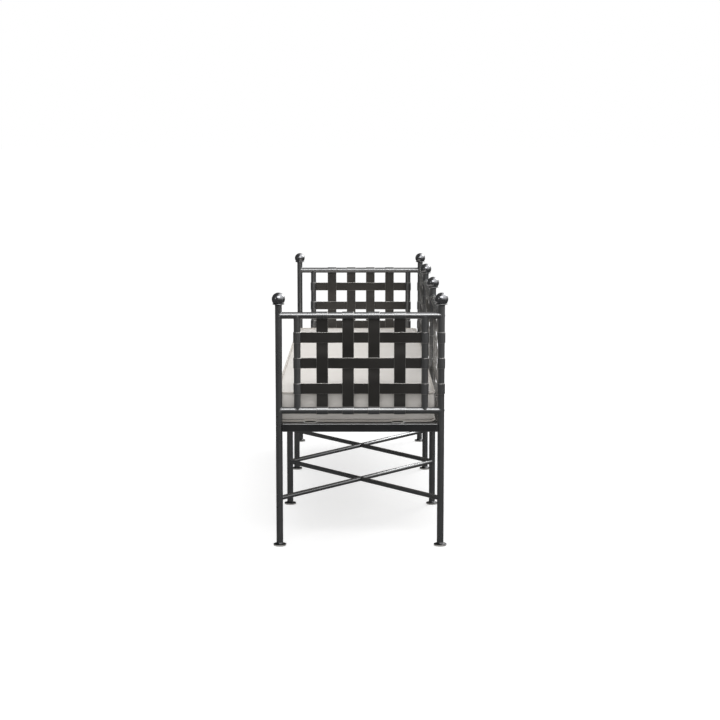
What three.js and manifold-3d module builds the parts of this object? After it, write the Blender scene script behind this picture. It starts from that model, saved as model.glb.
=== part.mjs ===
// A garden daybed: eight tubular legs, two arms and a back of woven flat straps,
// ball finials, crossed stretchers under each of three bays, and one long seat cushion.
// Units are millimetres, +Z is up. The origin is on the floor under the middle of the bed.
// X runs along the bed, the open front faces -Y and the back is at +Y.
import * as THREE from "three";
import { mergeVertices } from "three/addons/utils/BufferGeometryUtils.js";
import Module from "manifold-3d";

const wasm = await Module();
wasm.setup();

// ---- driving dimensions ----
const POST_DEPTH = 530; // front post axis to rear post axis
const OUTER_BAY = 637; // post to post in the left and right bays
const MIDDLE_BAY = 662; // post to post in the middle bay
const TUBE_R = 11.1; // all posts, rails and uprights are 22.2 mm round tube
const TUBE_WALL = 2;
const GAP = 0.3; // left between neighbouring pieces
const TUBE_SIDES = 12;
const TOOL_SIDES = 16; // of the round cutters that clear a tube

const POST_TOP = 799.8;
const FOOT_TOP = 8;
const SPIGOT_LENGTH = 22; // how far a foot or finial plugs into its tube

const TOP_RAIL_Z = 764;
const LOWER_RAIL_Z = 452;
const LEG_INSET = 8; // the middle front legs stand this far inside the corner post line

const STRAP_WIDTH = 38; // the upright straps and the seat deck
const CROSS_STRAP_WIDTH = 35; // the straps that run level in the arms and back
const STRAP_THICKNESS = 1.6;
const CROSS_STRAP_PITCH = 84; // up the panel
const STRAP_PITCH = 84.4; // along the arms, back and deck
const ARM_STRAPS = 4;
const STRAPS_PER_BAY = 7; // in the back, and in the deck under it
const UPRIGHT_HALF_SPACING = 208.1;
const ARM_PANEL_SHIFT = 3.3; // the arm panels sit this far behind the middle of the posts
const SLEEVE_SIDES = 8; // of the loop in which a strap goes round its tube

const SEAT_RAIL_WIDTH = 38;
const SEAT_RAIL_HEIGHT = 27;
const SEAT_RAIL_TOP = 409;
const SEAT_RAIL_WALL = 2;
const SEAT_RAIL_PROUD = 11; // outer face beyond the post axis line
const DECK_LONG_STRAPS_Y = [-163, 124];
const DECK_OVERLAP = 6; // a deck strap stops this far short of a rail's outer face

const STRETCHER_Z = 159;
const STRETCHER_R = 8;

const CUSHION_LENGTH = 1900;
const CUSHION_FRONT = -278;
const CUSHION_REAR = 249;
const CUSHION_BOTTOM = 412.8;
const CUSHION_TOP = 519;
const CUSHION_CORNER_R = 18;
const CUSHION_EDGE = 12; // rounding of the cushion's top and bottom edges

// ---- places worked out from them ----
const FRONT_Y = -POST_DEPTH / 2;
const REAR_Y = POST_DEPTH / 2;
const MIDDLE_X = MIDDLE_BAY / 2;
const END_X = MIDDLE_X + OUTER_BAY;
const PANEL_MIDDLE_Z = (TOP_RAIL_Z + LOWER_RAIL_Z) / 2;
const CROSS_STRAP_Z = [1, 0, -1].map((row) => PANEL_MIDDLE_Z + row * CROSS_STRAP_PITCH);
const SEAT_RAIL_BOTTOM = SEAT_RAIL_TOP - SEAT_RAIL_HEIGHT;
const SEAT_INNER = { x: END_X + SEAT_RAIL_PROUD - SEAT_RAIL_WIDTH, y: REAR_Y + SEAT_RAIL_PROUD - SEAT_RAIL_WIDTH };
const strapPlaces = (bay) =>
  Array.from(
    { length: STRAPS_PER_BAY },
    (_, slot) => (bay.from + bay.to) / 2 + (slot - (STRAPS_PER_BAY - 1) / 2) * STRAP_PITCH,
  );
const BAYS = [
  { name: "left", from: -END_X, to: -MIDDLE_X },
  { name: "middle", from: -MIDDLE_X, to: MIDDLE_X },
  { name: "right", from: MIDDLE_X, to: END_X },
];
const LEGS = [
  { name: "front_left", x: -END_X, y: FRONT_Y, tall: true },
  { name: "front_mid_left", x: -MIDDLE_X, y: FRONT_Y + LEG_INSET, tall: false },
  { name: "front_mid_right", x: MIDDLE_X, y: FRONT_Y + LEG_INSET, tall: false },
  { name: "front_right", x: END_X, y: FRONT_Y, tall: true },
  { name: "rear_left", x: -END_X, y: REAR_Y, tall: true },
  { name: "rear_mid_left", x: -MIDDLE_X, y: REAR_Y, tall: true },
  { name: "rear_mid_right", x: MIDDLE_X, y: REAR_Y, tall: true },
  { name: "rear_right", x: END_X, y: REAR_Y, tall: true },
];

// ---- finishes ----
const coatedMetal = new THREE.MeshStandardMaterial({ color: 0x38393a, roughness: 0.42, metalness: 0.7 });
const strapMetal = new THREE.MeshStandardMaterial({ color: 0x2e2e2e, roughness: 0.5, metalness: 0.5 });
const cushionFabric = new THREE.MeshStandardMaterial({ color: 0xe9e4de, roughness: 0.9, metalness: 0 });

// ---- solids ----
const solid = (geometry) => {
  const bare = geometry.clone().deleteAttribute("normal").deleteAttribute("uv");
  const merged = mergeVertices(bare, 1e-4);
  return new wasm.Manifold(
    new wasm.Mesh({
      numProp: 3,
      vertProperties: merged.attributes.position.array,
      triVerts: new Uint32Array(merged.index.array),
    }),
  );
};

const geometryOf = (body) => {
  const mesh = body.getMesh();
  const geometry = new THREE.BufferGeometry();
  geometry.setAttribute("position", new THREE.BufferAttribute(mesh.vertProperties, 3));
  geometry.setIndex(new THREE.BufferAttribute(mesh.triVerts, 1));
  const faceted = geometry.toNonIndexed();
  faceted.computeVertexNormals();
  return faceted;
};

const joined = (bodies) => bodies.reduce((whole, next) => whole.add(next));
const cutBy = (body, tools) => tools.reduce((left, tool) => left.subtract(tool), body);

const box = (x0, x1, y0, y1, z0, z1) =>
  solid(new THREE.BoxGeometry(x1 - x0, y1 - y0, z1 - z0).translate((x0 + x1) / 2, (y0 + y1) / 2, (z0 + z1) / 2));

// A turned solid about the Z axis. The profile is a list of [radius, height], bottom to top on the outside.
const turned = (profile, sides) =>
  new THREE.LatheGeometry(profile.map(([r, z]) => new THREE.Vector2(r, z)), sides).rotateX(Math.PI / 2);

// A straight bar from one point to another, round, hollow where a bore is given.
const barGeometry = (from, to, radius, bore = 0, sides = TUBE_SIDES) => {
  const length = from.distanceTo(to);
  const ring = [[radius, 0], [radius, length], [bore, length], [bore, 0]];
  const profile = bore ? [...ring, ring[0]] : [[0, 0], [radius, 0], [radius, length], [0, length]];
  const along = new THREE.Quaternion().setFromUnitVectors(
    new THREE.Vector3(0, 0, 1),
    to.clone().sub(from).normalize(),
  );
  return turned(profile, sides).applyQuaternion(along).translate(from.x, from.y, from.z);
};
const point = (x, y, z) => new THREE.Vector3(x, y, z);
const bar = (...what) => solid(barGeometry(...what));

// A tool that clears a round tube, and leaves the usual gap to it.
const around = (from, to, radius = TUBE_R) =>
  bar(from, to, (radius + GAP) / Math.cos(Math.PI / TOOL_SIDES), 0, TOOL_SIDES);
const aroundPost = (x, y) => around(point(x, y, 0), point(x, y, POST_TOP));

// A strap lies in the plane of its panel: "along" is its length, "out" is the panel's normal and "wide" is across it.
// The frame takes [along, out, wide] to X, Y, Z.
const FRAMES = {
  armVertical: new THREE.Matrix4().makeBasis(point(0, 0, 1), point(1, 0, 0), point(0, 1, 0)),
  armCross: new THREE.Matrix4().makeBasis(point(0, 1, 0), point(-1, 0, 0), point(0, 0, 1)),
  backVertical: new THREE.Matrix4().makeBasis(point(0, 0, 1), point(0, -1, 0), point(1, 0, 0)),
  backCross: new THREE.Matrix4().makeBasis(point(1, 0, 0), point(0, 1, 0), point(0, 0, 1)),
};

// The band between a line of [along, out] points and the same line one thickness away, pulled to the strap's width.
const band = (line, width) => {
  const half = STRAP_THICKNESS / 2;
  const outline = [...line.map(([a, o]) => [a, o - half]), ...line.toReversed().map(([a, o]) => [a, o + half])];
  const shape = new THREE.Shape(outline.map(([a, o]) => new THREE.Vector2(a, o)));
  return solid(
    new THREE.ExtrudeGeometry(shape, { depth: width, bevelEnabled: false }).translate(0, 0, -width / 2),
  );
};

// The loop in which a strap end goes round a tube whose axis crosses the strap at "along".
const SLEEVE_BORE = (TUBE_R + GAP) / Math.cos(Math.PI / SLEEVE_SIDES);
const SLEEVE_R = SLEEVE_BORE + STRAP_THICKNESS;
const sleeve = (along, width) => {
  const ring = new THREE.Shape().absarc(0, 0, SLEEVE_R, 0, Math.PI * 2);
  ring.holes.push(new THREE.Path().absarc(0, 0, SLEEVE_BORE, 0, Math.PI * 2, true));
  const settings = { depth: width, bevelEnabled: false, curveSegments: SLEEVE_SIDES / 2 };
  return solid(new THREE.ExtrudeGeometry(ring, settings).translate(along, 0, -width / 2));
};

// A strap that loops round every tube in "tubes" and passes each crossing on the side that its sign says.
// crossings is a list of { at, out }, in order along the strap, and out is how far the strap steps aside.
const wovenStrap = (tubes, crossings, width, reach) => {
  const end = SLEEVE_BORE + STRAP_THICKNESS / 2;
  const pieces = tubes.map((tube) => sleeve(tube, width));
  for (let span = 1; span < tubes.length; span++) {
    const [from, to] = [tubes[span - 1], tubes[span]];
    const between = crossings.filter(({ at }) => at > from && at < to);
    const steps = between.flatMap(({ at, out }) => [[at - reach, out], [at + reach, out]]);
    pieces.push(band([[from + end, 0], ...steps, [to - end, 0]], width));
  }
  return joined(pieces);
};
const UPRIGHT_REACH = CROSS_STRAP_WIDTH / 2 + 3; // an upright strap stays stepped aside past a cross strap's edge
const CROSS_REACH = STRAP_WIDTH / 2 + 3;

const placed = (body, frame, x, y, z) => {
  const where = new THREE.Matrix4().makeTranslation(x, y, z).multiply(FRAMES[frame]);
  return solid(geometryOf(body).applyMatrix4(where));
};

// ---- the assembly ----
const daybed = new THREE.Group();
const addPiece = (name, geometry, material) => {
  const mesh = new THREE.Mesh(geometry, material);
  mesh.name = name;
  daybed.add(mesh);
};

const TUBE_BORE = TUBE_R - TUBE_WALL;
const SPIGOT_R = TUBE_BORE - GAP;

function addLegs() {
  for (const leg of LEGS) {
    const kind = leg.tall ? "post" : "leg";
    const top = leg.tall ? POST_TOP : SEAT_RAIL_BOTTOM - GAP;
    addPiece(
      `${kind}_${leg.name}`,
      barGeometry(point(leg.x, leg.y, FOOT_TOP + GAP), point(leg.x, leg.y, top), TUBE_R, TUBE_BORE),
      coatedMetal,
    );
  }
}

function addFeet() {
  const profile = [
    [0, 0],
    [19.8, 0],
    [21.3, 1.8],
    [20.9, 4.6],
    [13, 6.2],
    [TUBE_R, FOOT_TOP],
    [SPIGOT_R, FOOT_TOP],
    [SPIGOT_R, FOOT_TOP + SPIGOT_LENGTH],
    [0, FOOT_TOP + SPIGOT_LENGTH],
  ];
  for (const leg of LEGS) {
    addPiece(`foot_${leg.name}`, turned(profile, 14).translate(leg.x, leg.y, 0), coatedMetal);
  }
}

function addFinials() {
  const COLLAR_R = 19.4;
  const COLLAR_TOP = 3.2;
  const BALL_R = 21.6;
  const BALL_CENTRE = 17.4;
  const BALL_STEPS = 7;
  const NECK_ANGLE = -Math.asin((BALL_CENTRE - COLLAR_TOP) / BALL_R); // where the ball grows out of its collar
  const ball = [];
  for (let step = 0; step <= BALL_STEPS; step++) {
    const angle = NECK_ANGLE + (step / BALL_STEPS) * (Math.PI / 2 - NECK_ANGLE);
    const radius = step === BALL_STEPS ? 0 : BALL_R * Math.cos(angle);
    ball.push([radius, BALL_CENTRE + BALL_R * Math.sin(angle)]);
  }
  const profile = [
    [0, GAP - SPIGOT_LENGTH],
    [SPIGOT_R, GAP - SPIGOT_LENGTH],
    [SPIGOT_R, GAP],
    [COLLAR_R, GAP],
    [COLLAR_R, COLLAR_TOP],
    ...ball,
  ];
  for (const leg of LEGS.filter(({ tall }) => tall)) {
    addPiece(`finial_${leg.name}`, turned(profile, 14).translate(leg.x, leg.y, POST_TOP), coatedMetal);
  }
}

// A tube between two axes, its ends hollowed to sit against the tubes that it meets.
const copedTube = (from, to, tools) => geometryOf(cutBy(bar(from, to, TUBE_R, TUBE_BORE), tools));

function addArm(side, x) {
  const name = `arm_${side}`;
  const posts = [aroundPost(x, FRONT_Y), aroundPost(x, REAR_Y)];
  const railAt = (z) => around(point(x, FRONT_Y, z), point(x, REAR_Y, z));
  for (const [rail, z] of [["top_rail", TOP_RAIL_Z], ["lower_rail", LOWER_RAIL_Z]]) {
    const backRail = around(point(x, REAR_Y, z), point(0, REAR_Y, z)); // the two meet inside the corner
    const tools = [...posts, backRail];
    addPiece(`${name}_${rail}`, copedTube(point(x, FRONT_Y, z), point(x, REAR_Y, z), tools), coatedMetal);
  }

  const frontUpright = ARM_PANEL_SHIFT - UPRIGHT_HALF_SPACING;
  const rearUpright = ARM_PANEL_SHIFT + UPRIGHT_HALF_SPACING;
  const rails = [railAt(TOP_RAIL_Z), railAt(LOWER_RAIL_Z)];
  for (const [upright, y] of [["upright_front", frontUpright], ["upright_rear", rearUpright]]) {
    addPiece(`${name}_${upright}`, copedTube(point(x, y, LOWER_RAIL_Z), point(x, y, TOP_RAIL_Z), rails), coatedMetal);
  }

  // Seen from outside, the two outer straps and the two inner straps take opposite sides of each cross strap.
  const outward = Math.sign(x);
  const step = STRAP_THICKNESS / 2 + GAP / 2;
  const verticalIsOutside = (strap, row) => (strap === 0 || strap === ARM_STRAPS - 1) === (row === 1);
  const strapY = (strap) => ARM_PANEL_SHIFT + (strap - (ARM_STRAPS - 1) / 2) * STRAP_PITCH;
  const sideOf = (strap, row) => outward * (verticalIsOutside(strap, row) ? 1 : -1);

  for (let strap = 0; strap < ARM_STRAPS; strap++) {
    const crossings = CROSS_STRAP_Z.map((z, row) => ({ at: z, out: sideOf(strap, row) * step })).reverse();
    const body = wovenStrap([LOWER_RAIL_Z, TOP_RAIL_Z], crossings, STRAP_WIDTH, UPRIGHT_REACH);
    addPiece(
      `${name}_vertical_strap_${strap + 1}`,
      geometryOf(placed(body, "armVertical", x, strapY(strap), 0)),
      strapMetal,
    );
  }
  CROSS_STRAP_Z.forEach((z, row) => {
    const crossings = Array.from({ length: ARM_STRAPS }, (_, strap) => ({
      at: strapY(strap),
      out: sideOf(strap, row) * step, // the frame's "out" is -X, so this takes the other side
    }));
    const body = wovenStrap([frontUpright, rearUpright], crossings, CROSS_STRAP_WIDTH, CROSS_REACH);
    addPiece(`${name}_cross_strap_${row + 1}`, geometryOf(placed(body, "armCross", x, 0, z)), strapMetal);
  });
}

function addBackRails() {
  for (const bay of BAYS) {
    const posts = [aroundPost(bay.from, REAR_Y), aroundPost(bay.to, REAR_Y)];
    for (const [rail, z] of [["top_rail", TOP_RAIL_Z], ["lower_rail", LOWER_RAIL_Z]]) {
      addPiece(
        `back_${rail}_${bay.name}`,
        copedTube(point(bay.from, REAR_Y, z), point(bay.to, REAR_Y, z), posts),
        coatedMetal,
      );
    }
  }
}

// The back's straps in one lattice: three that run its whole length, looped round all four rear posts, and
// seven uprights in each bay, fixed where they cross.
function addBackLattice() {
  const step = STRAP_THICKNESS / 2 - 0.05;
  const posts = [-END_X, -MIDDLE_X, MIDDLE_X, END_X];
  const places = BAYS.flatMap((bay) => strapPlaces(bay).map((x, slot) => ({ x, slot })));
  // +1 where the upright strap is on the front, sitting side of the cross strap
  const side = (slot, row) => ((slot + row) % 2 === 0 ? 1 : -1);

  const straps = CROSS_STRAP_Z.map((z, row) => {
    const crossings = places.map(({ x, slot }) => ({ at: x, out: side(slot, row) * step }));
    return placed(wovenStrap(posts, crossings, CROSS_STRAP_WIDTH, CROSS_REACH), "backCross", 0, REAR_Y, z);
  });
  for (const { x, slot } of places) {
    const crossings = CROSS_STRAP_Z.map((z, row) => ({ at: z, out: side(slot, row) * step })).reverse();
    const body = wovenStrap([LOWER_RAIL_Z, TOP_RAIL_Z], crossings, STRAP_WIDTH, UPRIGHT_REACH);
    straps.push(placed(body, "backVertical", x, REAR_Y, 0));
  }
  addPiece("back_strap_lattice", geometryOf(joined(straps)), strapMetal);
}

// A hollow rectangular seat rail along one side, mitred at the corners and notched round the posts.
function addSeatRails() {
  const outer = { x: END_X + SEAT_RAIL_PROUD, y: REAR_Y + SEAT_RAIL_PROUD };
  const ringBetween = (inset, outset, bottom, top) => {
    const x = outer.x - inset;
    const y = outer.y - inset;
    const inX = SEAT_INNER.x + outset;
    const inY = SEAT_INNER.y + outset;
    return { x, y, inX, inY, bottom, top };
  };
  const wedge = ({ x, y, inX, inY, bottom, top }, alongX) => {
    const corners = alongX
      ? [[-x, -y], [x, -y], [inX, -inY], [-inX, -inY]]
      : [[x, -y], [x, y], [inX, inY], [inX, -inY]];
    const shape = new THREE.Shape(corners.map(([a, b]) => new THREE.Vector2(a, b)));
    return solid(new THREE.ExtrudeGeometry(shape, { depth: top - bottom, bevelEnabled: false }).translate(0, 0, bottom));
  };
  const skin = ringBetween(0, 0, SEAT_RAIL_BOTTOM, SEAT_RAIL_TOP);
  const hollow = ringBetween(
    SEAT_RAIL_WALL,
    SEAT_RAIL_WALL,
    SEAT_RAIL_BOTTOM + SEAT_RAIL_WALL,
    SEAT_RAIL_TOP - SEAT_RAIL_WALL,
  );
  // A thin diagonal cut at each corner parts the front and rear rails from the end rails.
  const mitres = [1, -1].flatMap((sx) =>
    [1, -1].map((sy) => {
      const cut = new THREE.BoxGeometry(3 * SEAT_RAIL_WIDTH, 2 * GAP, 2 * SEAT_RAIL_HEIGHT);
      cut.rotateZ((sx * sy * Math.PI) / 4);
      return solid(cut.translate(sx * (outer.x - SEAT_RAIL_WIDTH / 2), sy * (outer.y - SEAT_RAIL_WIDTH / 2), SEAT_RAIL_TOP));
    }),
  );
  const posts = LEGS.filter(({ tall }) => tall).map(({ x, y }) => aroundPost(x, y));
  // Nothing is left of a rail outside a corner post.
  const corners = [1, -1].flatMap((sx) =>
    [1, -1].map((sy) => {
      const cut = new THREE.BoxGeometry(SEAT_RAIL_WIDTH, SEAT_RAIL_WIDTH, 3 * SEAT_RAIL_HEIGHT);
      const reach = SEAT_RAIL_WIDTH / 2;
      return solid(cut.translate(sx * (END_X + reach), sy * (REAR_Y + reach), SEAT_RAIL_TOP));
    }),
  );
  const tools = [...mitres, ...posts, ...corners];
  const alongX = wedge(skin, true).subtract(wedge(hollow, true));
  const alongY = wedge(skin, false).subtract(wedge(hollow, false));
  const turnedRound = (body) => body.rotate([0, 0, 180]);
  const sides = { front: alongX, rear: turnedRound(alongX), right: alongY, left: turnedRound(alongY) };
  for (const [name, body] of Object.entries(sides)) {
    addPiece(`seat_rail_${name}`, geometryOf(cutBy(body, tools)), coatedMetal);
  }
}

// The seat deck lies on the seat rails: cross straps from front to rear on two long straps, fixed where they cross.
function addSeatDeck() {
  const bottom = SEAT_RAIL_TOP + GAP;
  const middle = bottom + STRAP_THICKNESS - 0.1;
  const half = STRAP_WIDTH / 2;
  const endX = END_X + SEAT_RAIL_PROUD - DECK_OVERLAP;
  const frontY = FRONT_Y - SEAT_RAIL_PROUD + DECK_OVERLAP;
  const pieces = DECK_LONG_STRAPS_Y.map((y) =>
    box(-endX, endX, y - half, y + half, bottom, bottom + STRAP_THICKNESS),
  );
  for (const x of BAYS.flatMap(strapPlaces)) {
    pieces.push(box(x - half, x + half, frontY, -frontY, middle, middle + STRAP_THICKNESS));
  }
  addPiece("seat_deck", geometryOf(joined(pieces)), strapMetal);
}

// Each bay's two stretchers cross at one height and are welded there.
function addStretchers() {
  for (const bay of BAYS) {
    const legs = LEGS.filter(({ x }) => x === bay.from || x === bay.to);
    const at = (x, rear) => legs.find((leg) => leg.x === x && leg.y > 0 === rear);
    const rod = (a, b) => bar(point(a.x, a.y, STRETCHER_Z), point(b.x, b.y, STRETCHER_Z), STRETCHER_R);
    const cross = rod(at(bay.from, false), at(bay.to, true)).add(rod(at(bay.to, false), at(bay.from, true)));
    const tools = legs.map(({ x, y }) => around(point(x, y, 0), point(x, y, SEAT_RAIL_BOTTOM)));
    addPiece(`cross_stretcher_${bay.name}`, geometryOf(cutBy(cross, tools)), coatedMetal);
  }
}

function addCushion() {
  const half = CUSHION_LENGTH / 2 - CUSHION_EDGE;
  const front = CUSHION_FRONT + CUSHION_EDGE;
  const rear = CUSHION_REAR - CUSHION_EDGE;
  const r = CUSHION_CORNER_R;
  const outline = new THREE.Shape()
    .moveTo(-half + r, front)
    .lineTo(half - r, front)
    .absarc(half - r, front + r, r, -Math.PI / 2, 0)
    .lineTo(half, rear - r)
    .absarc(half - r, rear - r, r, 0, Math.PI / 2)
    .lineTo(-half + r, rear)
    .absarc(-half + r, rear - r, r, Math.PI / 2, Math.PI)
    .lineTo(-half, front + r)
    .absarc(-half + r, front + r, r, Math.PI, Math.PI * 1.5);
  const pad = new THREE.ExtrudeGeometry(outline, {
    depth: CUSHION_TOP - CUSHION_BOTTOM - 2 * CUSHION_EDGE,
    bevelThickness: CUSHION_EDGE,
    bevelSize: CUSHION_EDGE,
    bevelSegments: 2,
    curveSegments: 3,
  });
  addPiece("seat_cushion", pad.translate(0, 0, CUSHION_BOTTOM + CUSHION_EDGE), cushionFabric);
}

addLegs();
addFeet();
addFinials();
addArm("left", -END_X);
addArm("right", END_X);
addBackRails();
addBackLattice();
addSeatRails();
addSeatDeck();
addStretchers();
addCushion();

export default daybed;
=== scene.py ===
# %% [markdown]
# # A garden daybed in powder-coated steel
# The bed is a welded frame of round tube, with arms and a back of woven flat straps, ball finials on the
# posts, crossed stretchers between the legs and one long box cushion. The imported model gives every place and
# size, so each piece below starts by asking where its solid is. It could all be modelled by eye, but then
# nothing would line up.

import math

import bmesh
import bpy
from mathutils import Matrix, Vector


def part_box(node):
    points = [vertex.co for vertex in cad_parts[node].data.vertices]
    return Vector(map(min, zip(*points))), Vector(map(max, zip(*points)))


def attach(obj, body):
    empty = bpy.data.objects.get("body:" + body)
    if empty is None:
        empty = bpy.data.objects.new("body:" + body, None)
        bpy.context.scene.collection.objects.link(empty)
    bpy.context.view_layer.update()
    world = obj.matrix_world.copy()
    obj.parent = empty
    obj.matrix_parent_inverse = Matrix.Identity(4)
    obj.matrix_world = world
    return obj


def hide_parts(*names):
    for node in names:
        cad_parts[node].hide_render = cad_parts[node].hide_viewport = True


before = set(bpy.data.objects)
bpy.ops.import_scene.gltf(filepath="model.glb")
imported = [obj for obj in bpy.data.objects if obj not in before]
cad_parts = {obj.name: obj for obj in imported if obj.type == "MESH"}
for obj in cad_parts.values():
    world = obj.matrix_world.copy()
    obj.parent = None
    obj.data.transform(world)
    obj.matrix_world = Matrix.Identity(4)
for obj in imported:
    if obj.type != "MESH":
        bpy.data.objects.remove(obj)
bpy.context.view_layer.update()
MM = 0.001
TURN = 2 * math.pi


def middle(node):
    """The middle of a solid's box: for a straight tube, a point on its axis."""
    low, high = (Vector(corner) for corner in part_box(node))
    return (low + high) / 2


# %% [markdown]
# ## Colour and nodes
# Colours are written as the sRGB hex values that a paint chart gives. A shader wants linear light, so one
# function turns them. A second adds any node with its settings and its links.


# %% Colour and node helpers
def linear(hex_colour):
    parts = [int(hex_colour[i : i + 2], 16) / 255 for i in (1, 3, 5)]
    return tuple(p / 12.92 if p <= 0.04045 else ((p + 0.055) / 1.055) ** 2.4 for p in parts) + (1.0,)


def add_node(material, kind, inputs=None, **settings):
    """A new node. Each value in inputs is a constant or another node's output socket."""
    node = material.node_tree.nodes.new(kind)
    for name, value in settings.items():
        setattr(node, name, value)
    for key, value in (inputs or {}).items():
        if isinstance(value, bpy.types.NodeSocket):
            material.node_tree.links.new(value, node.inputs[key])
        else:
            node.inputs[key].default_value = value
    return node


def new_material(name, **surface):
    """A material with one Principled shader, and its constant values set on the shader's own sockets."""
    material = bpy.data.materials.new(name)
    material.use_nodes = True
    shader = material.node_tree.nodes["Principled BSDF"]
    for socket, value in surface.items():
        shader.inputs[socket.replace("_", " ")].default_value = value
    return material, shader


def link(material, output, socket):
    material.node_tree.links.new(output, socket)


print("mid grey in linear light", round(linear("#808080")[0], 3))

# %% [markdown]
# ## Powder coat
# The frame is steel sprayed with a dark powder that holds fine aluminium flake, and baked. The flake gives it
# a gunmetal look: nearly black where it faces the dim room, and bright along the top of each tube. So it is
# mostly metallic, with a dark grey. A plain plastic black would stay flat grey all over. The melt leaves a
# faint orange peel about 1.5 mm across, and a satin gloss that varies a little.


# %% Powder coat
FLAKE = 0.9  # share of the surface that acts as metal
PEEL_PITCH = 1.5 * MM  # orange peel, from crest to crest


def powder_coat(name, colour, shade, roughness, peel=0.25):
    """Two close greys in soft clouds, with the uneven gloss and the orange peel of a baked powder."""
    material, shader = new_material(name, Metallic=FLAKE)
    coords = add_node(material, "ShaderNodeTexCoord")
    place = coords.outputs["Object"]
    cloud = add_node(material, "ShaderNodeTexNoise", {"Vector": place, "Scale": 9.0, "Detail": 4.0})
    tint = add_node(material, "ShaderNodeMix", {0: cloud.outputs["Fac"], 6: linear(colour), 7: linear(shade)},
                    data_type="RGBA")
    gloss = add_node(material, "ShaderNodeMapRange",
                     {"Value": cloud.outputs["Fac"], "To Min": roughness - 0.05, "To Max": roughness + 0.06})
    peel_noise = add_node(material, "ShaderNodeTexNoise",
                          {"Vector": place, "Scale": 1 / PEEL_PITCH, "Detail": 1.0})
    bump = add_node(material, "ShaderNodeBump",
                    {"Height": peel_noise.outputs["Fac"], "Strength": peel, "Distance": 0.08 * MM})
    link(material, tint.outputs[2], shader.inputs["Base Color"])
    link(material, gloss.outputs["Result"], shader.inputs["Roughness"])
    link(material, bump.outputs["Normal"], shader.inputs["Normal"])
    return material


tube_coat = powder_coat("powder_coated_steel_tube", "#707172", "#828282", 0.28)
# painted shade: the straps are the tube's powder in a darker grey, as their broad flat faces show one even
# tone, darker than the round tube's
strap_coat_painted_shade = powder_coat("strap_powder_coat_painted_darker", "#4b4947", "#595754", 0.30)
# painted highlight: the straps' bevelled edges get a pale grey, so that they show as a fine bright line
strap_edge_painted_highlight = powder_coat("strap_edge_painted_highlight_coat", "#b4b2af", "#c6c4c0", 0.35)
finial_coat = powder_coat("gloss_powder_coated_cast_finial", "#707173", "#7c7c7e", 0.16, peel=0.05)
# painted shade: the box section is the tube's powder in a darker grey, for its broad flat faces
section_coat_painted_shade = powder_coat("box_section_powder_coat_painted_darker", "#474748", "#525253", 0.30)
# painted shade: the foot castings are the tube's powder in a darker grey
foot_coat_painted_shade = powder_coat("foot_powder_coat_painted_darker", "#3c3c3d", "#484849", 0.34)
coats = (tube_coat, strap_coat_painted_shade, strap_edge_painted_highlight, finial_coat, section_coat_painted_shade, foot_coat_painted_shade)
print("coats", [coat.name for coat in coats])

# %% [markdown]
# ## Glide plastic
# Each foot stands on a glide of moulded polyethylene. It is pale and matt, with a fine grain from its mould.

# %% Glide plastic
glide_plastic, glide_shader = new_material("moulded_polyethylene_glide", Base_Color=linear("#a9a7a3"),
                                           Roughness=0.55)
grain = add_node(glide_plastic, "ShaderNodeTexNoise", {"Scale": 900.0})
grain_bump = add_node(glide_plastic, "ShaderNodeBump", {"Height": grain.outputs["Fac"], "Strength": 0.1,
                                                         "Distance": 0.05 * MM})
link(glide_plastic, grain_bump.outputs["Normal"], glide_shader.inputs["Normal"])
print("plastic", glide_plastic.name)

# %% [markdown]
# ## Turning a bmesh into a piece
# Every piece ends the same way: its mesh gets a material, smooth faces and a name, it rides on the frame, and
# the solids that it stands for are hidden. One function does that, so no piece can forget a step.


# %% Finish a piece
MERGE = 0.01 * MM  # points closer than this are one point


def finish_piece(bm, name, material, nodes=(), recalc=True):
    """Turn a bmesh into a piece. An open sheet keeps the faces that it was drawn with."""
    if recalc:
        bmesh.ops.remove_doubles(bm, verts=bm.verts, dist=MERGE)
        bmesh.ops.recalc_face_normals(bm, faces=bm.faces)
    mesh = bpy.data.meshes.new(name)
    bm.to_mesh(mesh)
    bm.free()
    return place_mesh(mesh, name, material, nodes)


def place_mesh(mesh, name, material, nodes=()):
    """Name a mesh as a piece, put it on the frame, and hide the solids that it replaces."""
    piece = bpy.data.objects.new(name, mesh)
    bpy.context.scene.collection.objects.link(piece)
    mesh.materials.append(material)
    mesh.shade_smooth()
    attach(piece, "root")
    if nodes:
        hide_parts(*nodes)
    return piece


def soften(piece, width, segments=2, angle=40, edge_highlight_coat=None):
    """Add a Bevel, as no coated edge is knife sharp. Its faces may get a lighter coat of their own, as a
    painted highlight.
    """
    bevel = piece.modifiers.new("softened_edges", "BEVEL")
    bevel.width = width
    bevel.segments = segments
    bevel.limit_method = "ANGLE"
    bevel.angle_limit = math.radians(angle)
    bevel.harden_normals = True
    if edge_highlight_coat:
        piece.data.materials.append(edge_highlight_coat)
        bevel.material = len(piece.data.materials) - 1


# %% [markdown]
# ## Tubes
# Posts, rails and uprights are all one round tube. Blender's cylinder is placed between two points. A rail
# runs on into the post's middle, so the joint's saddle line comes out by itself. Cutting a cope into each end
# would look the same.

# %% Tube maker and the legs
TUBE_SIDES = 48
LEG_PLACES = ["front_left", "front_mid_left", "front_mid_right", "front_right",
              "rear_left", "rear_mid_left", "rear_mid_right", "rear_right"]
TALL = [place for place in LEG_PLACES if "front_mid" not in place]
TUBE_R = (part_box("arm_left_top_rail")[1][2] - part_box("arm_left_top_rail")[0][2]) / 2


def between(start, end):
    """The matrix that stands a Z-aligned shape, centred on the origin, between two points."""
    turn = (end - start).to_track_quat("Z", "Y").to_matrix().to_4x4()
    return Matrix.Translation((start + end) / 2) @ turn


def tube_piece(name, start, end, nodes, radius=TUBE_R):
    bm = bmesh.new()
    bmesh.ops.create_cone(bm, cap_ends=True, segments=TUBE_SIDES, radius1=radius, radius2=radius,
                          depth=(end - start).length, matrix=between(start, end))
    soften(finish_piece(bm, name, tube_coat, nodes), 0.6 * MM)


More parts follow.
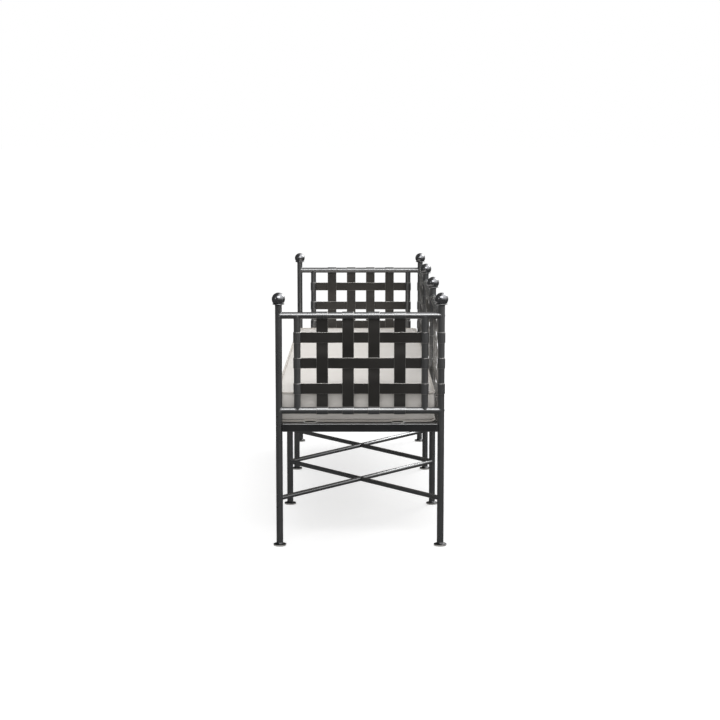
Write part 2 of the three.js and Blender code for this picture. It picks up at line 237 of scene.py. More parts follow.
leg_axis = {}  # a point on each leg's axis
for place in LEG_PLACES:
    node = ("post_" if place in TALL else "leg_") + place
    low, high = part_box(node)
    axis = middle(node)
    leg_axis[place] = axis
    tube_piece(node + "_tube", Vector((axis.x, axis.y, low[2])), Vector((axis.x, axis.y, high[2])), [node])
print("legs", len(leg_axis), "tube radius", round(TUBE_R, 5))

# %% [markdown]
# ## Feet
# Feet and finials are round castings, so each is a profile spun about its own axis. A foot is a flared disc
# with a cove up to the leg, on a pale plastic glide.

# %% Feet
SPIN_STEPS = 56


def spin_profile(profile, x, y):
    """A solid of revolution from (radius, height) points that start and end on the axis."""
    bm = bmesh.new()
    points = [bm.verts.new((x + radius, y, height)) for radius, height in profile]
    edges = [bm.edges.new(pair) for pair in zip(points, points[1:])]
    bmesh.ops.spin(bm, geom=points + edges, cent=(x, y, 0), axis=(0, 0, 1), angle=TURN, steps=SPIN_STEPS,
                   use_merge=True)
    return bm


FOOT_PROFILE_MM = [(0, 4.6), (20.0, 4.6), (20.9, 4.8), (21.3, 5.3), (21.1, 5.9), (20.0, 6.3),
                   (17.0, 6.7), (14.2, 7.3), (12.6, 8.4), (11.7, 9.8), (11.4, 11.4), (0, 11.4)]
GLIDE_PROFILE_MM = [(0, 0), (19.4, 0), (20.5, 0.6), (21.0, 1.8), (21.0, 3.4), (20.6, 4.8), (0, 4.8)]
for place, axis in leg_axis.items():
    foot = spin_profile([(r * MM, z * MM) for r, z in FOOT_PROFILE_MM], axis.x, axis.y)
    finish_piece(foot, f"foot_casting_{place}", foot_coat_painted_shade, [f"foot_{place}"])
    glide = spin_profile([(r * MM, z * MM) for r, z in GLIDE_PROFILE_MM], axis.x, axis.y)
    finish_piece(glide, f"foot_glide_{place}", glide_plastic)

print("feet", len(leg_axis))

# %% [markdown]
# ## Ball finials
# The ball's profile is an arc from a narrow neck to its top, and the collar's is a thin rounded disc on the
# post.

# %% Ball finials
BALL_R = 21.6 * MM
BALL_STEPS = 24
GROOVE_R = 14.6 * MM  # of the plain foot that the ball stands on, between it and the collar
COLLAR_PROFILE_MM = [(0, -4), (11.6, -4), (11.9, -0.4), (17.6, 0.0), (18.7, 0.3), (19.25, 0.9), (19.4, 1.6),
                     (19.25, 2.3), (18.7, 2.9), (17.6, 3.2), (14.8, 3.3), (0, 3.3)]
NECK_R = 17.2 * MM  # of the ball where it starts, over a groove
for place in TALL:
    axis = leg_axis[place]
    post_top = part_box(f"post_{place}")[1][2]
    ball_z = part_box(f"finial_{place}")[1][2] - BALL_R
    collar = spin_profile([(r * MM, post_top + z * MM) for r, z in COLLAR_PROFILE_MM], axis.x, axis.y)
    finish_piece(collar, f"finial_collar_{place}", tube_coat, [f"finial_{place}"])
    neck = -math.acos(NECK_R / BALL_R)
    start_z = ball_z + BALL_R * math.sin(neck)
    profile = [(0, post_top + 2 * MM), (GROOVE_R, post_top + 2 * MM), (GROOVE_R, start_z - 0.2 * MM)]
    for step in range(BALL_STEPS + 1):
        angle = neck + (math.pi / 2 - neck) * step / BALL_STEPS
        profile.append((max(BALL_R * math.cos(angle), 0.0), ball_z + BALL_R * math.sin(angle)))
    finish_piece(spin_profile(profile, axis.x, axis.y), f"ball_finial_{place}", finial_coat,
                 [f"finial_{place}"])
print("finials", len(TALL))

# %% [markdown]
# ## Rails, uprights and stretchers
# The rails join the posts, the uprights join the two rails of an arm, and two rods cross under each bay. The
# rods are half-lapped and welded, so both lie at one height.

# %% Rails and uprights
REAR_Y = leg_axis["rear_left"].y
FRONT_Y = leg_axis["front_left"].y
rail_z = {rail: middle(f"arm_left_{rail}").z for rail in ("top_rail", "lower_rail")}
joints = []  # each weld: a point on the axis of the tube it lands on, the landing tube's direction and radius


def welded_tube(name, start, end, nodes, radius=TUBE_R):
    direction = (end - start).normalized()
    joints.append((start, direction, radius))
    joints.append((end, -direction, radius))
    tube_piece(name, start, end, nodes, radius)


for side in ("left", "right"):
    x = leg_axis[f"front_{side}"].x
    for rail, z in rail_z.items():
        welded_tube(f"arm_{side}_{rail}_tube", Vector((x, FRONT_Y, z)), Vector((x, REAR_Y, z)),
                    [f"arm_{side}_{rail}"])
    for end in ("front", "rear"):
        y = middle(f"arm_{side}_upright_{end}").y
        welded_tube(f"arm_{side}_upright_{end}_tube", Vector((x, y, rail_z["lower_rail"])),
                    Vector((x, y, rail_z["top_rail"])), [f"arm_{side}_upright_{end}"])

BAYS = {"left": ("left", "mid_left"), "middle": ("mid_left", "mid_right"), "right": ("mid_right", "right")}
ROD_R = (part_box("cross_stretcher_left")[1][2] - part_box("cross_stretcher_left")[0][2]) / 2
for bay, (start, end) in BAYS.items():
    for rail, z in rail_z.items():
        ends = [Vector((leg_axis[f"rear_{place}"].x, REAR_Y, z)) for place in (start, end)]
        welded_tube(f"back_{rail}_{bay}_tube", ends[0], ends[1], [f"back_{rail}_{bay}"])
    z = middle(f"cross_stretcher_{bay}").z
    for rod, (front, rear) in enumerate(((start, end), (end, start)), 1):
        a, b = leg_axis[f"front_{front}"], leg_axis[f"rear_{rear}"]
        welded_tube(f"stretcher_rod_{bay}_{rod}", Vector((a.x, a.y, z)), Vector((b.x, b.y, z)),
                    [f"cross_stretcher_{bay}"], ROD_R)
print("welded joints", len(joints))

# %% [markdown]
# ## Weld beads
# Each tube is welded where its end lands on another. The bead follows the saddle line of two crossing
# cylinders. It could be a plain ring, but a ring would float off a round post, so each point slides along the
# tube to the surface.

# %% Weld beads
BEAD_R = 1.1 * MM
BEAD_STEPS = 40
RIPPLES = 9  # round one bead
RIPPLE = 0.006  # as a share of the radius


def round_along(points, radius, name, sides):
    """The mesh of a round bead or cord that follows the points and closes on itself."""
    curve = bpy.data.curves.new(name, "CURVE")
    curve.dimensions = "3D"
    curve.bevel_depth = radius
    curve.bevel_resolution = sides
    spline = curve.splines.new("POLY")
    spline.points.add(len(points) - 1)
    for spot, target in zip(spline.points, points):
        spot.co = (*target, 1)
    spline.use_cyclic_u = True
    holder = bpy.data.objects.new(name, curve)
    bpy.context.scene.collection.objects.link(holder)
    mesh = bpy.data.meshes.new_from_object(holder.evaluated_get(bpy.context.evaluated_depsgraph_get()))
    bpy.data.objects.remove(holder)
    return mesh


beads = bmesh.new()
for number, (spot, direction, radius) in enumerate(joints):
    across = Vector((0, 0, 1)).cross(direction)
    if across.length < 0.1:  # an upright lands on a rail that runs along Y
        across = Vector((1, 0, 0))
    across.normalize()
    other = direction.cross(across)
    points = []
    for step in range(BEAD_STEPS):
        angle = TURN * step / BEAD_STEPS
        ripple = 1 + RIPPLE * math.sin(RIPPLES * angle + number)
        side = radius * math.cos(angle)
        slide = math.sqrt(max(TUBE_R**2 - side**2, 0.0))
        points.append(spot + direction * slide + (across * side + other * radius * math.sin(angle)) * ripple)
    beads.from_mesh(round_along(points, BEAD_R, "bead", sides=2))
finish_piece(beads, "weld_beads", tube_coat)
print("weld beads", len(joints))

# %% [markdown]
# ## Straps
# A strap is 38 mm flat bar that weaves past the straps it crosses and is rolled round the tube at each end. A
# sheet is drawn first: the woven line is extruded to the strap's width, and each roll is an edge spun round
# its tube. A Solidify modifier gives both one thickness. Solid bars would need their corners matched by hand
# at every bend.

# %% Strap maker
STRAP_T = 1.6 * MM
ROLL_R = TUBE_R + 0.3 * MM + STRAP_T / 2  # to the middle of the strap's thickness
RISE = 1.1 * MM  # how far a strap steps aside to pass another
EASE = 5  # points in each bend
ROLL_STEPS = 40


def woven_line(start, end, crossings, reach):
    """(along, out) points that ease from one side to the other between the crossings."""
    knots = [(start, 0.0)]
    for at, out in crossings:
        knots += [(at - reach, out), (at + reach, out)]
    knots.append((end, 0.0))
    line = [knots[0]]
    for (a0, o0), (a1, o1) in zip(knots, knots[1:]):
        for step in range(1, EASE + 1):
            t = step / EASE
            line.append((a0 + (a1 - a0) * t, o0 + (o1 - o0) * t * t * (3 - 2 * t)))
    return line


def only_verts(geom):
    return [part for part in geom if isinstance(part, bmesh.types.BMVert)]


def add_sheet(bm, line, width):
    """Draw a woven line and extrude it to the strap's width."""
    points = [bm.verts.new((along, out, -width / 2)) for along, out in line]
    edges = [bm.edges.new(pair) for pair in zip(points, points[1:])]
    drawn = bmesh.ops.extrude_edge_only(bm, edges=edges)["geom"]
    bmesh.ops.translate(bm, vec=(0, 0, width), verts=only_verts(drawn))


def thicken(piece):
    """Give a strap's sheet its thickness and its edges with a painted highlight."""
    wall = piece.modifiers.new("strap_thickness", "SOLIDIFY")
    wall.thickness = STRAP_T
    wall.offset = 0
    soften(piece, 0.7 * MM, segments=3, edge_highlight_coat=strap_edge_painted_highlight)


def strap_piece(name, tubes, crossings, width, reach, placing, nodes):
    """A strap rolled round each tube. Along is X, out is Y and the width is Z until it is placed."""
    bm = bmesh.new()
    for start, end in zip(tubes, tubes[1:]):
        inside = [(at, out) for at, out in crossings if start < at < end]
        add_sheet(bm, woven_line(start + ROLL_R, end - ROLL_R, inside, reach), width)
    flat_faces = set(bm.faces)
    for tube in tubes:
        rim = [bm.verts.new((tube + ROLL_R, 0, z)) for z in (-width / 2, width / 2)]
        bmesh.ops.spin(bm, geom=rim + [bm.edges.new(rim)], cent=(tube, 0, 0), axis=(0, 0, 1), angle=TURN,
                       steps=ROLL_STEPS, use_merge=True)
    for face in bm.faces:
        face.material_index = 0 if face in flat_faces else 1
    bmesh.ops.recalc_face_normals(bm, faces=bm.faces)
    bmesh.ops.transform(bm, matrix=placing, verts=bm.verts)
    piece = finish_piece(bm, name, strap_coat_painted_shade, nodes, recalc=False)
    piece.data.materials.append(tube_coat)  # a roll keeps the tube's coat, without the flat strap's painted shade, and shines as its tube does
    thicken(piece)


def strap_frame(along, out, wide, spot):
    """The matrix that places a strap, from the directions of its length, its outside and its width."""
    return Matrix.Translation(spot) @ Matrix((along, out, wide)).transposed().to_4x4()


print("strap roll radius", round(ROLL_R, 5))

# %% [markdown]
# ## Arm straps
# Four upright straps pass three cross straps. Seen from outside, a cross strap goes over, under, under and
# over, and the middle one goes the other way. The far arm is the near one's mirror image.

# %% Arm straps
UPRIGHT_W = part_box("arm_left_vertical_strap_1")[1][1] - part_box("arm_left_vertical_strap_1")[0][1]
CROSS_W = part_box("arm_left_cross_strap_1")[1][2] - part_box("arm_left_cross_strap_1")[0][2]
UPRIGHT_REACH = CROSS_W / 2 + 2 * MM
CROSS_REACH = UPRIGHT_W / 2 + 2 * MM
cross_z = [middle(f"arm_left_cross_strap_{row}").z for row in (1, 2, 3)]
rails_up = [rail_z["lower_rail"], rail_z["top_rail"]]


def arm_side(strap, row):
    """Where an upright strap passes a cross strap: 1 is outside it and -1 is inside."""
    return 1 if (strap in (0, 3)) == (row == 1) else -1


for side in ("left", "right"):
    x = leg_axis[f"front_{side}"].x
    outward = math.copysign(1, x)
    strap_y = [middle(f"arm_{side}_vertical_strap_{n}").y for n in (1, 2, 3, 4)]
    uprights = [middle(f"arm_{side}_upright_{end}").y for end in ("front", "rear")]
    for strap, y in enumerate(strap_y):
        passes = sorted((z, RISE * outward * arm_side(strap, row)) for row, z in enumerate(cross_z))
        strap_piece(f"arm_{side}_upright_strap_{strap + 1}", rails_up, passes, UPRIGHT_W, UPRIGHT_REACH,
                    strap_frame((0, 0, 1), (1, 0, 0), (0, 1, 0), (x, y, 0)),
                    [f"arm_{side}_vertical_strap_{strap + 1}"])
    for row, z in enumerate(cross_z):
        passes = [(y, RISE * outward * arm_side(strap, row)) for strap, y in enumerate(strap_y)]
        strap_piece(f"arm_{side}_level_strap_{row + 1}", uprights, passes, CROSS_W, CROSS_REACH,
                    strap_frame((0, 1, 0), (-1, 0, 0), (0, 0, 1), (x, 0, z)),
                    [f"arm_{side}_cross_strap_{row + 1}"])
print("arm straps", 2 * (len(strap_y) + len(cross_z)), "cross heights", [round(z, 4) for z in cross_z])

# %% [markdown]
# ## Back straps
# Three straps run the whole length and are rolled round all four rear posts. Seven upright straps fill each
# bay. They alternate over and under, as in any plain weave.

# %% Back straps
STRAP_PITCH = 84.4 * MM
STRAPS_PER_BAY = 7
rear_x = [leg_axis[f"rear_{place}"].x for place in ("left", "mid_left", "mid_right", "right")]
back_places = []  # each upright strap's X, and its number within its bay
for start, end in zip(rear_x, rear_x[1:]):
    for slot in range(STRAPS_PER_BAY):
        back_places.append(((start + end) / 2 + (slot - (STRAPS_PER_BAY - 1) / 2) * STRAP_PITCH, slot))


def back_side(slot, row):
    """How far a level strap steps out to pass an upright one."""
    return RISE if (slot + row) % 2 == 0 else -RISE


for row, z in enumerate(cross_z):
    passes = [(x, back_side(slot, row)) for x, slot in back_places]
    strap_piece(f"back_level_strap_{row + 1}", rear_x, passes, CROSS_W, CROSS_REACH,
                strap_frame((1, 0, 0), (0, 1, 0), (0, 0, 1), (0, REAR_Y, z)), ["back_strap_lattice"])
for number, (x, slot) in enumerate(back_places, 1):
    passes = sorted((z, back_side(slot, row)) for row, z in enumerate(cross_z))
    strap_piece(f"back_upright_strap_{number:02d}", rails_up, passes, UPRIGHT_W, UPRIGHT_REACH,
                strap_frame((0, 0, 1), (0, -1, 0), (1, 0, 0), (x, REAR_Y, 0)), ["back_strap_lattice"])
print("back straps", len(back_places) + len(cross_z))

# %% [markdown]
# ## Seat rails
# Four lengths of flat rectangular tube are mitred at the corner posts, and their outer faces stop against the
# posts' sides. Each is drawn as its outline from above and extruded to its height. A bevel then rounds the
# section's edges.


# %% Seat rails
def plan_solid(outline, low_z, high_z):
    """A solid with the same outline all the way up, as a length of section has when seen from above."""
    bm = bmesh.new()
    base = bmesh.ops.contextual_create(bm, geom=[bm.verts.new((x, y, low_z)) for x, y in outline])["faces"]
    drawn = bmesh.ops.extrude_face_region(bm, geom=base, use_keep_orig=True)["geom"]
    bmesh.ops.translate(bm, vec=(0, 0, high_z - low_z), verts=only_verts(drawn))
    return bm


END_X = leg_axis["rear_right"].x
for name in ("front", "rear", "left", "right"):
    low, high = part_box(f"seat_rail_{name}")
    along_x = name in ("front", "rear")
    sign = 1 if name in ("rear", "right") else -1
    post_along, post_across = (END_X, REAR_Y) if along_x else (REAR_Y, END_X)
    across = 1 if along_x else 0
    outer = max(abs(low[across]), abs(high[across]))
    inner = min(abs(low[across]), abs(high[across]))
    # half the outline, as (along, across): outer face up to the post, back to its axis, then down the mitre
    half = [(post_along - TUBE_R, outer), (post_along - TUBE_R, post_across), (post_along, post_across),
            (post_along - (post_across - inner), inner)]
    outline = [(a, sign * c) for a, c in half] + [(-a, sign * c) for a, c in reversed(half)]
    if not along_x:
        outline = [(c, a) for a, c in outline]
    rail = finish_piece(plan_solid(outline, low[2], high[2]), f"seat_rail_{name}_section", section_coat_painted_shade,
                        [f"seat_rail_{name}"])
    # the rail's faces have that painted shade, and its rounded edges keep the tube's lighter coat as a painted
    # highlight line
    soften(rail, 2.2 * MM, segments=3, edge_highlight_coat=tube_coat)
    print("seat rail", name, len(rail.data.polygons), "faces")

# %% [markdown]
# ## Seat deck
# Flat straps lie on the seat rails and carry the cushion. Two run the whole length, and one crosses under
# each of the back's upright straps. They have no rolls, so they need only the sheet and its thickness.

# %% Seat deck straps
deck_low, deck_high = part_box("seat_deck")
LONG_Y = [-163 * MM, 124 * MM]
DECK_RISE = 0.8 * MM


def deck_strap(name, start, end, passes, placing):
    bm = bmesh.new()
    add_sheet(bm, woven_line(start, end, passes, CROSS_REACH), UPRIGHT_W)
    bmesh.ops.transform(bm, matrix=placing, verts=bm.verts)
    thicken(finish_piece(bm, name, strap_coat_painted_shade, ["seat_deck"], recalc=False))


deck_z = (deck_low[2] + deck_high[2]) / 2
for number, y in enumerate(LONG_Y, 1):
    passes = [(x, DECK_RISE if slot % 2 == number % 2 else -DECK_RISE) for x, slot in back_places]
    deck_strap(f"deck_long_strap_{number}", deck_low[0], deck_high[0], passes,
               strap_frame((1, 0, 0), (0, 0, 1), (0, -1, 0), (0, y, deck_z)))
for number, (x, slot) in enumerate(back_places, 1):
    passes = [(y, -DECK_RISE if slot % 2 == n % 2 else DECK_RISE) for n, y in enumerate(LONG_Y, 1)]
    deck_strap(f"deck_cross_strap_{number:02d}", deck_low[1], deck_high[1], passes,
               strap_frame((0, 1, 0), (0, 0, 1), (1, 0, 0), (x, 0, deck_z)))
print("deck straps", len(LONG_Y) + len(back_places))

# %% [markdown]
# ## Cushion fabric
# The cover is solution-dyed acrylic in a fine rib weave, matt and off-white. Real ribs are about 1 mm apart.
# They are drawn 4.5 mm apart so that they show. They run level round the sides and from front to back across
# the top.


# %% Fabric
def rib_fabric(name, colour, shade, rib=4.5 * MM):
    """Woven acrylic: matt and softly sheened, with ribs, slubs in the yarn and a cloudy tint."""
    material, shader = new_material(name, Roughness=0.92, Sheen_Weight=0.25, Sheen_Roughness=0.5,
                                    Specular_IOR_Level=0.2)
    place = add_node(material, "ShaderNodeTexCoord").outputs["Object"]
    split = add_node(material, "ShaderNodeSeparateXYZ", {"Vector": place})
    facing = add_node(material, "ShaderNodeNewGeometry")
    up = add_node(material, "ShaderNodeSeparateXYZ", {"Vector": facing.outputs["Normal"]})
    flat = add_node(material, "ShaderNodeMath", {0: up.outputs["Z"]}, operation="ABSOLUTE")
    on_top = add_node(material, "ShaderNodeMath", {0: flat.outputs[0], 1: 0.7}, operation="GREATER_THAN")
    across = add_node(material, "ShaderNodeMix",
                      {0: on_top.outputs[0], 2: split.outputs["Z"], 3: split.outputs["X"]})
    phase = add_node(material, "ShaderNodeMath", {0: across.outputs[0], 1: TURN / rib}, operation="MULTIPLY")
    ribs = add_node(material, "ShaderNodeMath", {0: phase.outputs[0]}, operation="SINE")
    slub = add_node(material, "ShaderNodeTexNoise", {"Vector": place, "Scale": 420.0, "Detail": 3.0})
    height = add_node(material, "ShaderNodeMath", {0: slub.outputs["Fac"], 1: 0.9, 2: ribs.outputs[0]},
                      operation="MULTIPLY_ADD")
    bump = add_node(material, "ShaderNodeBump",
                    {"Height": height.outputs[0], "Strength": 0.35, "Distance": 0.3 * MM})
    cloud = add_node(material, "ShaderNodeTexNoise", {"Vector": place, "Scale": 14.0, "Detail": 5.0})
    tint = add_node(material, "ShaderNodeMix", {0: cloud.outputs["Fac"], 6: linear(colour), 7: linear(shade)},
                    data_type="RGBA")
    link(material, tint.outputs[2], shader.inputs["Base Color"])
    link(material, bump.outputs["Normal"], shader.inputs["Normal"])
    return material


cover_fabric = rib_fabric("ribbed_acrylic_cover", "#e7e3de", "#dfdad4")
piping_fabric = rib_fabric("ribbed_acrylic_piping", "#dcd7d0", "#d3cdc5", rib=2.0 * MM)
print("fabrics", cover_fabric.name, piping_fabric.name)

# %% [markdown]
# ## The cushion
# A box cushion is a top and a bottom panel sewn to a border, over foam, with piping in both seams. The foam
# pushes the panels out, but a seam can't stretch. So the seams are pinned and cloth pressure swells
# everything between them. A bevelled box with a sculpted crown would be faster, but its sides would not pull
# in towards the corners.

# %% The cushion's shape before it swells
SEAM_IN = 3.6 * MM  # the seams lie this far inside the solid's sides
SEAM_UP = 2.4 * MM  # the lower seam lies this far over the solid's underside
CROWN = 12 * MM  # and the upper seam this far under its top, where the panel swells
CORNER_R = 24 * MM
VOXEL = 9 * MM
pad_low, pad_high = (Vector(corner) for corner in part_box("seat_cushion"))
seam_low = Vector((pad_low.x + SEAM_IN, pad_low.y + SEAM_IN, pad_low.z + SEAM_UP))
seam_high = Vector((pad_high.x - SEAM_IN, pad_high.y - SEAM_IN, pad_high.z - CROWN))

bm = bmesh.new()
middle_of_pad = Matrix.Translation((seam_low + seam_high) / 2)
bmesh.ops.create_cube(bm, size=1, matrix=middle_of_pad @ Matrix.Diagonal((*(seam_high - seam_low), 1)))
upright_edges = [e for e in bm.edges if abs(e.verts[0].co.z - e.verts[1].co.z) > MM]
bmesh.ops.bevel(bm, geom=upright_edges, offset=CORNER_R, segments=8, profile=0.5, affect="EDGES", material=-1)
cushion_mesh = bpy.data.meshes.new("cushion_blank")
bm.to_mesh(cushion_mesh)
bm.free()
blank = bpy.data.objects.new("cushion_blank", cushion_mesh)
bpy.context.scene.collection.objects.link(blank)
remesh = blank.modifiers.new("even_faces", "REMESH")
remesh.mode = "VOXEL"
remesh.voxel_size = VOXEL
blank_mesh = bpy.data.meshes.new_from_object(blank.evaluated_get(bpy.context.evaluated_depsgraph_get()))
bpy.data.objects.remove(blank)
print("cushion blank", len(blank_mesh.vertices), "vertices")

# %% [markdown]
# ## Swelling the cushion
# Twenty frames of cloth pressure blow the blank up. No point may go further than a cap, so that the cushion
# stays in the space its solid has, and its underside stays flat on the deck. The result is kept as a plain
# mesh.

# %% Swell it
SWELL_TOP = 12 * MM
SWELL_SIDE = 3 * MM
SWELL_FRAMES = 20
SWELL_PRESSURE = 4
SEAM_REACH = VOXEL * 0.7  # a point this near a seam's height
EDGE_REACH = VOXEL * 0.9  # and this near the pad's side is on the seam
LIE_FLAT = 0.5 * MM  # lowest height over the solid's underside


def swell(mesh):
    """Cloth pressure with pinned seams, and a cap on how far each point may go."""
    body = bpy.data.objects.new("cushion_swelling", mesh)
    bpy.context.scene.collection.objects.link(body)
    pins = body.vertex_groups.new(name="seams")
    for vertex in mesh.vertices:
        p = vertex.co
        at_seam = min(abs(p.z - seam_low.z), abs(p.z - seam_high.z)) < SEAM_REACH
        at_side = min(p.x - seam_low.x, seam_high.x - p.x, p.y - seam_low.y, seam_high.y - p.y) < EDGE_REACH
        if at_seam and at_side:
            pins.add([vertex.index], 1.0, "REPLACE")
    start = [vertex.co.copy() for vertex in mesh.vertices]
    cloth = body.modifiers.new("pressure", "CLOTH")
    cloth.settings.use_pressure = True
    cloth.settings.uniform_pressure_force = SWELL_PRESSURE
    cloth.settings.vertex_group_mass = "seams"
    cloth.settings.effector_weights.gravity = 0
    scene = bpy.context.scene
    for frame_number in range(1, SWELL_FRAMES + 1):
        scene.frame_set(frame_number)
    swollen = bpy.data.meshes.new_from_object(body.evaluated_get(bpy.context.evaluated_depsgraph_get()))
    scene.frame_set(1)
    bpy.data.objects.remove(body)
    for vertex, before in zip(swollen.vertices, start):
        move = vertex.co - before
        for axis, cap in enumerate((SWELL_SIDE, SWELL_SIDE, SWELL_TOP)):
            move[axis] = max(-cap, min(cap, move[axis]))
        vertex.co = before + move
        vertex.co.z = max(vertex.co.z, pad_low.z + LIE_FLAT)
    return swollen


pad_mesh = swell(blank_mesh)
cushion = place_mesh(pad_mesh, "cushion_cover", cover_fabric, ["seat_cushion"])
print("cushion", len(pad_mesh.vertices), "vertices, box", [round(v, 4) for v in cushion.dimensions])

# %% [markdown]
# ## Piping
# Piping is a thin cord in a strip of the cover's fabric, sewn into a seam. It follows the rounded rectangle
# of each seam, with a slight wander, because a sewn seam is never dead straight. The lower one hangs down to
# the seat rails at the front and the ends, and rides up where it crosses a deck strap.


# %% Piping
PIPING_R = 3.4 * MM
ARC_STEPS = 12
RUN_STEP = 20 * MM
WANDER = 0.5 * MM


def corner_arc(x, y, quarter, z):
    """Points round one corner of the seams, from the run before it to the run after it."""
    middle_y = (seam_low.y + seam_high.y) / 2
    centre = Vector((x - math.copysign(CORNER_R, x), y - math.copysign(CORNER_R, y - middle_y), z))
    angles = [(quarter + step / ARC_STEPS) * math.pi / 2 for step in range(ARC_STEPS + 1)]
    return [centre + CORNER_R * Vector((math.cos(angle), math.sin(angle), 0)) for angle in angles]


def seam_points(z):
    """One seam: four rounded corners, with straight runs between them that wander up and down."""
    corners = [(seam_high.x, seam_high.y), (seam_low.x, seam_high.y),
               (seam_low.x, seam_low.y), (seam_high.x, seam_low.y)]
    arcs = [corner_arc(x, y, quarter, z) for quarter, (x, y) in enumerate(corners)]
    points = []
    for arc, next_arc in zip(arcs, arcs[1:] + arcs[:1]):
        points += arc
        count = max(2, int((next_arc[0] - arc[-1]).length / RUN_STEP))
        for step in range(1, count):
            along = arc[-1].lerp(next_arc[0], step / count)
            along.z += WANDER * math.sin(along.x * 21 + along.y * 17)
            points.append(along)
    return points


print("top seam points", len(seam_points(seam_high.z)))

# %% [markdown]
# ## How the lower piping lies
# At the front and the ends it lies on the seat rails, and climbs over the two long deck straps. At the back
# it lies on the cross straps, and comes down to the rails round its corners.

# %% The lower piping's height
RAIL_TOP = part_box("seat_rail_right")[1][2]
RESTING = RAIL_TOP + PIPING_R + 0.4 * MM  # height of the lower piping where it lies on a rail
RIDE_UP = 3.2 * MM
RIDE_REACH = 30 * MM
RIDE_FULLY = 1.6  # over 1, so that the piping is fully up before it is over the strap's middle


def resting_height(point):
    """The lower piping's height: on the rail, but up where a deck strap is under it."""
    if point.y > seam_high.y - CORNER_R:
        near = min(1.0, (seam_high.x - abs(point.x)) / CORNER_R)
    else:
        near = max(0.0, 1 - min(abs(point.y - y) for y in LONG_Y) / RIDE_REACH)
    return RESTING + RIDE_UP * min(1.0, RIDE_FULLY * near * near * (3 - 2 * near))


def fine_points(points, longest=8 * MM):
    """The same closed run with points close enough together to bend over a strap."""
    run = []
    for start, end in zip(points, points[1:] + points[:1]):
        count = max(1, math.ceil((end - start).length / longest))
        run += [start.lerp(end, step / count) for step in range(count)]
    return run


runs = {"top": seam_points(seam_high.z), "bottom": []}
for spot in fine_points(seam_points(seam_low.z)):
    runs["bottom"].append(Vector((spot.x, spot.y, resting_height(spot))))
for name, points in runs.items():
    cord = round_along(points, PIPING_R, f"piping_{name}", sides=3)
    place_mesh(cord, f"cushion_piping_{name}", piping_fabric)
    print("piping", name, len(cord.polygons), "faces")

# %% [markdown]
# ## Floor
# The bed stands on a lit white table. Its glow keeps the shadows pale for the camera, and lights the bed a
# little. The tubes don't mirror it, so that they show the room and not the table.

# %% Floor
FLOOR_SIZE = 400  # metres, so far that its edge is lost in white
floor_material, floor_shader = new_material("back_lit_white_acrylic_floor", Base_Color=linear("#cecece"),
                                            Roughness=0.9, Specular_IOR_Level=0.0,
                                            Emission_Color=(1, 1, 1, 1))
seen = add_node(floor_material, "ShaderNodeLightPath").outputs["Is Camera Ray"]
glow = add_node(floor_material, "ShaderNodeMapRange", {"Value": seen, "To Min": 0.15, "To Max": 0.56})
link(floor_material, glow.outputs["Result"], floor_shader.inputs["Emission Strength"])
bm = bmesh.new()
bmesh.ops.create_grid(bm, x_segments=1, y_segments=1, size=FLOOR_SIZE)
floor_mesh = bpy.data.meshes.new("studio_floor")
bm.to_mesh(floor_mesh)
bm.free()
floor = bpy.data.objects.new("studio_floor", floor_mesh)
floor_mesh.materials.append(floor_material)
bpy.context.scene.collection.objects.link(floor)
floor.visible_glossy = False
print("floor", floor_material.name)

# %% [markdown]
# ## Room
# The camera sees plain white. Matt surfaces see an even sky. Shiny ones see a dim room with a bright ceiling,
# because dark metal is drawn by what it mirrors. One world can be all three, as it knows what kind of ray has
# reached it.

# %% Room
world = bpy.data.worlds.new("white_studio")
world.use_nodes = True
sky = world.node_tree
direction = add_node(world, "ShaderNodeTexCoord").outputs["Generated"]
height = add_node(world, "ShaderNodeSeparateXYZ", {"Vector": direction}).outputs["Z"]
rays = add_node(world, "ShaderNodeLightPath")
even_sky = add_node(world, "ShaderNodeMapRange",
                    {"Value": height, "From Min": 0.0, "From Max": 0.8, "To Min": 0.5, "To Max": 0.8})
ceiling = add_node(world, "ShaderNodeMapRange",
                   {"Value": height, "From Min": -0.02, "From Max": 0.75, "To Min": 0.0, "To Max": 3.4})
# the ceiling is bright over the back of the bed, and dark over its front
side = add_node(world, "ShaderNodeVectorMath", {0: direction, 1: (0.2, 1.0, 0.0)}, operation="DOT_PRODUCT")
bright_side = add_node(world, "ShaderNodeMapRange",
                       {"Value": side.outputs["Value"], "From Min": -0.1, "From Max": 0.4})
room = add_node(world, "ShaderNodeMath",
                {0: ceiling.outputs["Result"], 1: bright_side.outputs["Result"], 2: 0.10},
                operation="MULTIPLY_ADD")
by_gloss = add_node(world, "ShaderNodeMix",
                    {0: rays.outputs["Is Glossy Ray"], 2: even_sky.outputs["Result"], 3: room.outputs[0]})
strength = add_node(world, "ShaderNodeMix",
                    {0: rays.outputs["Is Camera Ray"], 2: by_gloss.outputs[0], 3: 1.0})
sky.nodes["Background"].inputs["Color"].default_value = (1, 1, 1, 1)
sky.links.new(strength.outputs[0], sky.nodes["Background"].inputs["Strength"])
bpy.context.scene.world = world
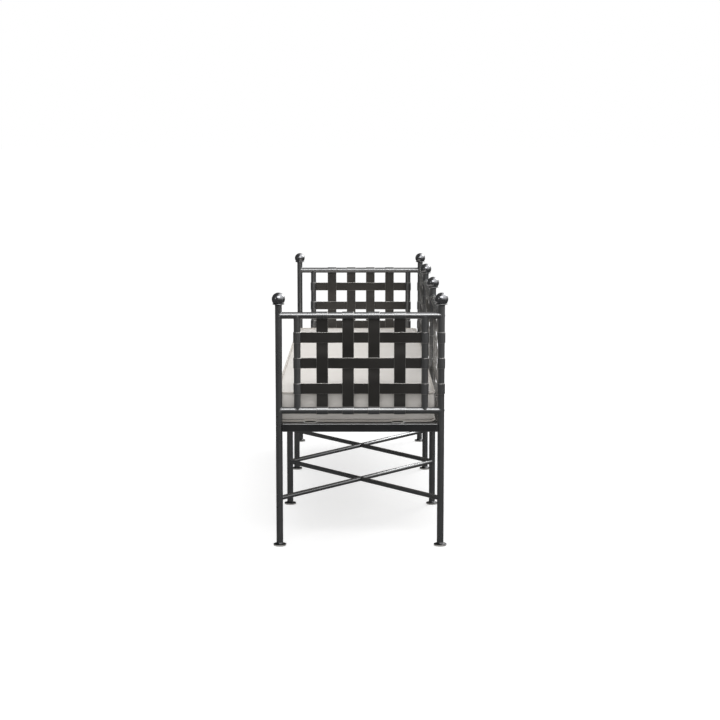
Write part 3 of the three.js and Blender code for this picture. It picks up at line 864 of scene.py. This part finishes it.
bpy.context.scene.view_settings.view_transform = "Standard"  # so that a white wall shows as white
print("room", len(sky.nodes), "nodes")

# %% [markdown]
# ## Lights
# Large soft lights stand above and round the bed. Two more are cards that the metal mirrors but that don't
# light the cloth: one draws the long line on the arm rails, and one draws the line on one of each pair of
# stretcher rods.


# %% Lights
def soft_light(name, spot, target, size, power, mirrored_only=False):
    lamp = bpy.data.lights.new(name, "AREA")
    lamp.shape = "RECTANGLE"
    lamp.size, lamp.size_y = size
    lamp.energy = power
    holder = bpy.data.objects.new(name, lamp)
    holder.location = spot
    holder.rotation_euler = (Vector(target) - Vector(spot)).to_track_quat("-Z", "Y").to_euler()
    bpy.context.scene.collection.objects.link(holder)
    holder.visible_diffuse = not mirrored_only


soft_light("overhead_strip", (2.9, 0, 3.3), (0.5, 0, 0.4), (2.4, 1.0), 34)
soft_light("rail_card", (3.6, 0, 3.0), (0.5, 0, 0.6), (3.0, 0.6), 38, mirrored_only=True)
soft_light("rod_card", (-2.7, 2.7, 2.8), (0, 0, 0.2), (2.0, 1.0), 60, mirrored_only=True)
soft_light("overhead_fill", (-1.2, 0, 3.4), (-0.6, 0, 0.4), (2.4, 1.6), 2)
soft_light("left_key", (3.4, -3.4, 1.9), (0.3, 0, 0.4), (1.2, 1.6), 9)
soft_light("rear_right_softbox", (-2.4, 2.2, 2.9), (0, 0, 0.2), (1.5, 1.5), 44)
soft_light("right_strip", (1.6, 2.8, 1.2), (0.6, 0, 0.6), (1.0, 2.0), 3)
print("lights", len(bpy.data.lights))

# %% [markdown]
# ## Camera
# The camera looks along the bed from beyond one arm, a little above it, with a long lens.

# %% Camera
DOWNWARD = 7.455  # degrees
camera_data = bpy.data.cameras.new("camera")
camera_data.lens = 83.06
camera_data.sensor_width = 36
camera = bpy.data.objects.new("camera", camera_data)
camera.location = (6.339, 0, 1.321)
camera.rotation_euler = (math.radians(90 - DOWNWARD), 0, math.radians(90))
bpy.context.scene.collection.objects.link(camera)
bpy.context.scene.camera = camera
print("camera", camera_data.lens, "mm")
